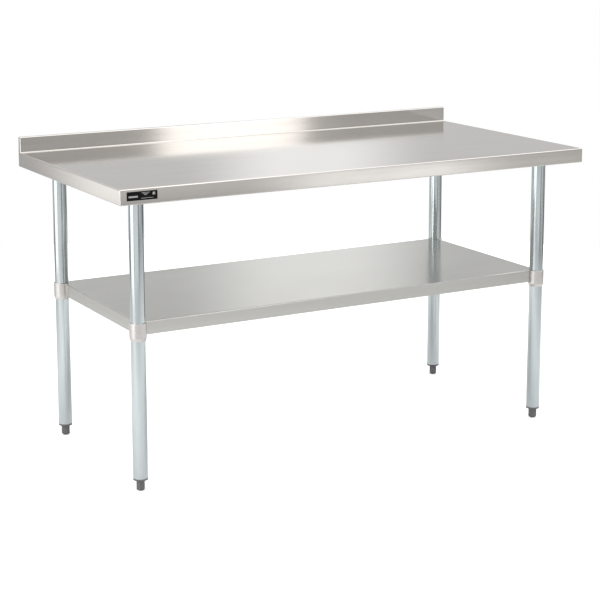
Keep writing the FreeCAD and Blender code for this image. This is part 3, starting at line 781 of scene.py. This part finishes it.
class TABLE_OT_undershelf(TablePiece, bpy.types.Operator):
    """Folds the undershelf, with its corners cut away round the clamps"""

    bl_idname = "work_table.undershelf"
    bl_label = "Undershelf"

    def build(self, context, table):
        sizes = table.sheet
        low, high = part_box("undershelf")
        bm = bmesh.new()
        arcs = [self.corner_arc(bm, corner, low, high, sizes.notch) for corner in CORNERS]
        sides = [
            bmesh.ops.contextual_create(bm, geom=[first[1], second[0]])["edges"][0]
            for first, second in zip(arcs, arcs[1:] + arcs[:1])
        ]
        bmesh.ops.contextual_create(bm, geom=bm.edges)
        for side in sides:
            start, end = (vert.co for vert in side.verts)
            middle = (start + end) / 2
            if abs(start.x - end.x) > sizes.notch:
                inwards = (0, -math.copysign(sizes.shelf_lip, middle.y), 0)
            else:
                inwards = (-math.copysign(sizes.shelf_lip, middle.x), 0, 0)
            hanging = push(bm, [side], (0, 0, low.z - high.z))
            push(bm, hanging, inwards)
        bmesh.ops.recalc_face_normals(bm, faces=bm.faces)
        round_folds(bm, sizes.shelf_fold, sizes.fold_steps)
        lay_grain(bm)
        piece = add_piece(
            context, bm, "undershelf_sheet", "satin stainless", "shelf"
        )
        thicken(piece, sizes.shelf_gauge)
        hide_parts("undershelf")

    def corner_arc(self, bm, corner, low, high, radius):
        """Points along the cut-away corner, which runs anticlockwise; its first and last point."""
        centre = axis_of(f"{corner}_leg") + UP * high.z
        side = Vector((math.copysign(1, centre.x), math.copysign(1, centre.y), 0))
        outset = high.x - abs(centre.x)
        reach = math.sqrt(radius**2 - outset**2)
        ends = [
            centre + Vector((-side.x * reach, side.y * outset, 0)),
            centre + Vector((side.x * outset, -side.y * reach, 0)),
        ]
        if side.x * side.y > 0:
            start, end = ends[1], ends[0]
        else:
            start, end = ends[0], ends[1]
        turn = (start - centre).xy.angle_signed((end - centre).xy)
        first = bm.verts.new(start)
        made = bmesh.ops.spin(
            bm,
            geom=[first],
            cent=centre,
            axis=UP,
            angle=-turn,
            steps=NOTCH_STEPS,
            use_duplicate=False,
        )
        return first, points_in(made["geom_last"])[0]


class TABLE_OT_legs(TablePiece, bpy.types.Operator):
    """Turns the four leg tubes"""

    bl_idname = "work_table.legs"
    bl_label = "Legs"

    def build(self, context, table):
        sizes = table.tube
        for corner in CORNERS:
            node = f"{corner}_leg"
            low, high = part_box(node)
            outer = (high.x - low.x) / 2
            inner = outer - sizes.wall
            profile = [(inner, low.z), (outer, low.z), (outer, high.z), (inner, high.z)]
            bm = turned(profile, axis_of(node), sizes.steps, edge=sizes.edge / 2)
            piece = add_piece(context, bm, f"{corner}_tube", "zinc plate")
            keep_flat(piece)
            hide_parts(node)


class TABLE_OT_feet(TablePiece, bpy.types.Operator):
    """Shapes the hexagonal feet and finishes their inserts, studs and glides"""

    bl_idname = "work_table.feet"
    bl_label = "Feet"

    def build(self, context, table):
        for corner in CORNERS:
            node = f"{corner}_foot"
            low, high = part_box(node)
            across = min(high.x - low.x, high.y - low.y)
            on_x = high.x - low.x > high.y - low.y
            bm = bmesh.new()
            radius = across / math.sqrt(3)
            bmesh.ops.create_circle(bm, cap_ends=True, segments=6, radius=radius)
            # Its corners lie along the node's longer side.
            turn = 0 if on_x else math.pi / 6
            first = max(bm.verts, key=lambda vert: vert.co.x)
            turn -= math.atan2(first.co.y, first.co.x)
            bmesh.ops.rotate(bm, verts=bm.verts, matrix=Matrix.Rotation(turn, 3, "Z"))
            made = bmesh.ops.extrude_face_region(bm, geom=list(bm.faces))
            rising = points_in(made["geom"])
            bmesh.ops.translate(bm, verts=rising, vec=(0, 0, high.z - low.z))
            bmesh.ops.translate(bm, verts=bm.verts, vec=axis_of(node) + UP * low.z)
            round_folds(bm, table.tube.edge, SMALL_EDGE_STEPS)
            name, body = f"{corner}_hexagon", f"{corner}_foot_screw"
            piece = add_piece(context, bm, name, "foot plastic", body)
            keep_flat(piece)
            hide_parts(node)
            dress(context, "foot plastic", f"{corner}_foot_insert")
            dress(context, "glide plastic", f"{corner}_glide")
            dress(context, "plated fastener", f"{corner}_foot_stud")
        dress(context, "plated fastener", "foot_insert_nuts")


class TABLE_OT_clamps(TablePiece, bpy.types.Operator):
    """Finishes the shelf clamps, their set screws and the undershelf's channel"""

    bl_idname = "work_table.clamps"
    bl_label = "Clamps"

    def build(self, context, table):
        dress(context, "cast aluminium", *(f"{corner}_shelf_clamp" for corner in CORNERS))
        dress(context, "plated fastener", "clamp_set_screws")
        dress(context, "galvanised", "undershelf_channel")


class TABLE_OT_underside(TablePiece, bpy.types.Operator):
    """Finishes the channels, sockets and fixings under the worktop"""

    bl_idname = "work_table.underside"
    bl_label = "Underside"

    def build(self, context, table):
        dress(context, "galvanised", "left_end_channel", "right_end_channel", "centre_channel")
        dress(context, "socket steel", *(f"{corner}_leg_socket" for corner in CORNERS))
        dress(
            context, "plated fastener", "channel_nuts", "channel_weld_studs", "socket_set_screws"
        )


class TABLE_OT_label(TablePiece, bpy.types.Operator):
    """Makes the dark label with its plain printed bars"""

    bl_idname = "work_table.label"
    bl_label = "Label"

    def build(self, context, table):
        low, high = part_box("front_label")
        sizes = table.label
        print_back = low.y + sizes.relief
        film = bmesh.new()
        add_block(film, (low.x, print_back, low.z), high)
        round_folds(film, sizes.relief, FILM_EDGE_STEPS)
        piece = add_piece(context, film, "label_film", "label film")
        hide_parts("front_label")
        marks = bmesh.new()
        for left, right, foot, thickness in self.bars(low, high, sizes):
            add_block(marks, (left, low.y, foot), (right, print_back, foot + thickness))
        add_piece(context, marks, "label_print", "label print")

    def bars(self, low, high, sizes):
        """Left and right end, foot and thickness of each printed bar and of the square."""
        length, height = high.x - low.x, high.z - low.z
        square_start, square_foot, square_side = LABEL_SQUARE
        side = height * square_side
        bars = [(*LABEL_BAR, sizes.bar)]
        bars += [(*line, sizes.line) for line in LABEL_LINES]
        bars.append((square_start, square_start + side / length, square_foot, side))
        return [
            (low.x + length * start, low.x + length * end, low.z + height * foot, thickness)
            for start, end, foot, thickness in bars
        ]


class TABLE_OT_stage(TablePiece, bpy.types.Operator):
    """Sets up the pale floor, the soft light and the camera"""

    bl_idname = "work_table.stage"
    bl_label = "Stage"

    def build(self, context, table):
        stage = table.stage
        self.add_floor(context, stage.floor_radius)
        self.add_world(context)
        self.add_lights(context)
        self.add_camera(context, stage)
        context.scene.view_settings.view_transform = "Standard"

    def add_floor(self, context, radius):
        """A round pale floor: a painted glow, seen only by the camera, brightens it to white
        towards its rim, while painted shade darkens its colour there for what the metal mirrors.
        """
        bm = bmesh.new()
        bmesh.ops.create_circle(bm, cap_ends=True, segments=FLOOR_STEPS, radius=radius)
        mesh = bpy.data.meshes.new("floor")
        bm.to_mesh(mesh)
        bm.free()
        material, tree, shader = new_material(
            "pale floor", Roughness=0.9, Emission_Color=(1, 1, 1, 1)
        )
        place = coordinates(tree, on_grain=False)
        shade = noise(tree, place, FLOOR_CLOUDS, detail=2)
        pale = tint(tree, shade, [FLOOR_TONE] * 3, 0.99, 1.0)
        reach = add_node(tree, "ShaderNodeVectorMath", operation="LENGTH")
        tree.links.new(place, reach.inputs[0])
        fade = (radius * FLOOR_MIDDLE, radius)
        rim = spread(tree, reach.outputs["Value"], 0.0, 1.0, *fade)
        # Painted shade: towards its rim the floor's colour darkens to the rim tone, standing in
        # for the room's light falling off in what the metal mirrors.
        painted_rim_shade = add_node(tree, "ShaderNodeMix", data_type="RGBA")
        painted_rim_shade.inputs["B"].default_value = (FLOOR_RIM_PAINTED_SHADE, FLOOR_RIM_PAINTED_SHADE, FLOOR_RIM_PAINTED_SHADE, 1)
        tree.links.new(rim, painted_rim_shade.inputs["Factor"])
        tree.links.new(pale, painted_rim_shade.inputs["A"])
        tree.links.new(painted_rim_shade.outputs["Result"], shader.inputs["Base Color"])
        # Painted light: a glow that only the camera sees, rising to white towards the rim, which
        # lifts the floor to white and washes out the table's shadow on it.
        rays = add_node(tree, "ShaderNodeLightPath").outputs["Is Camera Ray"]
        painted_glow_ramp = spread(tree, reach.outputs["Value"], FLOOR_PAINTED_GLOW, 1.0, *fade)
        glow = total(tree, painted_glow_ramp, rays, "MULTIPLY")
        tree.links.new(glow, shader.inputs["Emission Strength"])
        mesh.materials.append(material)
        floor = bpy.data.objects.new("floor", mesh)
        context.scene.collection.objects.link(floor)

    def add_world(self, context):
        """A white background, and for what the metal mirrors a grey room with light panels."""
        world = bpy.data.worlds.new("studio")
        world.use_nodes = True
        context.scene.world = world
        tree = world.node_tree
        tree.nodes.clear()
        direction = add_node(tree, "ShaderNodeTexCoord").outputs["Generated"]
        parts = add_node(tree, "ShaderNodeSeparateXYZ")
        tree.links.new(direction, parts.inputs["Vector"])
        height_in_room = parts.outputs["Z"]
        level = spread(tree, height_in_room, ROOM_WALL, ROOM_CEILING, *CEILING_RISE)
        below = spread(tree, height_in_room, ROOM_WALL - ROOM_LOW, 0.0, *LOW_RISE)
        level = total(tree, level, below, "SUBTRACT")
        behind = spread(tree, parts.outputs["Y"], 0.0, ROOM_BEHIND - ROOM_WALL, *REAR_RISE)
        fading = spread(tree, height_in_room, 1.0, 0.0, *REAR_FADE)
        level = total(tree, level, total(tree, behind, fading, "MULTIPLY"))
        for heading, height, half_width, half_height, blur, glow in PANELS:
            light = panel(tree, direction, heading, height, half_width, half_height, blur)
            strength = add_node(tree, "ShaderNodeMath", operation="MULTIPLY")
            strength.inputs[1].default_value = glow
            tree.links.new(light, strength.inputs[0])
            level = total(tree, level, strength.outputs["Value"])
        room = add_node(tree, "ShaderNodeBackground", inputs={"Color": (1, 1, 1, 1)})
        tree.links.new(level, room.inputs["Strength"])
        white = add_node(tree, "ShaderNodeBackground", inputs={"Color": (1, 1, 1, 1)})
        chooser = add_node(tree, "ShaderNodeMixShader")
        rays = add_node(tree, "ShaderNodeLightPath")
        tree.links.new(rays.outputs["Is Camera Ray"], chooser.inputs["Fac"])
        tree.links.new(room.outputs["Background"], chooser.inputs[1])
        tree.links.new(white.outputs["Background"], chooser.inputs[2])
        output = add_node(tree, "ShaderNodeOutputWorld")
        tree.links.new(chooser.outputs["Shader"], output.inputs["Surface"])

    def add_lights(self, context):
        """Softboxes, each with its place, aim, size and power."""
        for name, place, aim, extent, power in SOFTBOXES:
            light = bpy.data.lights.new(name, "AREA")
            light.shape = "RECTANGLE"
            light.size, light.size_y = extent
            light.energy = power
            lamp = bpy.data.objects.new(name, light)
            lamp.location = place
            ahead = Vector(aim) - Vector(place)
            lamp.rotation_euler = ahead.to_track_quat("-Z", "Y").to_euler()
            lamp.visible_camera = False
            context.scene.collection.objects.link(lamp)

    def add_camera(self, context, stage):
        """The camera, level from side to side and tilted down."""
        camera = bpy.data.cameras.new("camera")
        camera.sensor_width = stage.sensor
        camera.lens = stage.lens
        camera.shift_y = stage.rise
        camera.clip_end = stage.depth
        holder = bpy.data.objects.new("camera", camera)
        holder.location = stage.camera_place
        holder.rotation_euler = (math.pi / 2 - stage.camera_pitch, 0, -stage.camera_yaw)
        context.scene.collection.objects.link(holder)
        context.scene.camera = holder


PIECE_OPERATORS = (
    TABLE_OT_worktop,
    TABLE_OT_undershelf,
    TABLE_OT_legs,
    TABLE_OT_feet,
    TABLE_OT_clamps,
    TABLE_OT_underside,
    TABLE_OT_label,
    TABLE_OT_stage,
)


class TABLE_PT_panel(bpy.types.Panel):
    """Lists the table's pieces in the sidebar"""

    bl_idname = "TABLE_PT_panel"
    bl_label = "Work Table"
    bl_space_type = "VIEW_3D"
    bl_region_type = "UI"
    bl_category = "Work Table"

    def draw(self, context):
        for operator in PIECE_OPERATORS:
            self.layout.operator(operator.bl_idname)


CLASSES = (
    SheetSettings,
    TubeSettings,
    LabelSettings,
    FinishSettings,
    StageSettings,
    TableSettings,
    *PIECE_OPERATORS,
    TABLE_PT_panel,
)


def register():
    for cls in CLASSES:
        bpy.utils.register_class(cls)
    bpy.types.Scene.work_table = PointerProperty(type=TableSettings)


def unregister():
    del bpy.types.Scene.work_table
    for cls in reversed(CLASSES):
        bpy.utils.unregister_class(cls)


def main():
    """Builds every piece and the stage."""
    register()
    bpy.ops.work_table.worktop()
    bpy.ops.work_table.undershelf()
    bpy.ops.work_table.legs()
    bpy.ops.work_table.feet()
    bpy.ops.work_table.clamps()
    bpy.ops.work_table.underside()
    bpy.ops.work_table.label()
    bpy.ops.work_table.stage()


if __name__ == "__main__":
    main()
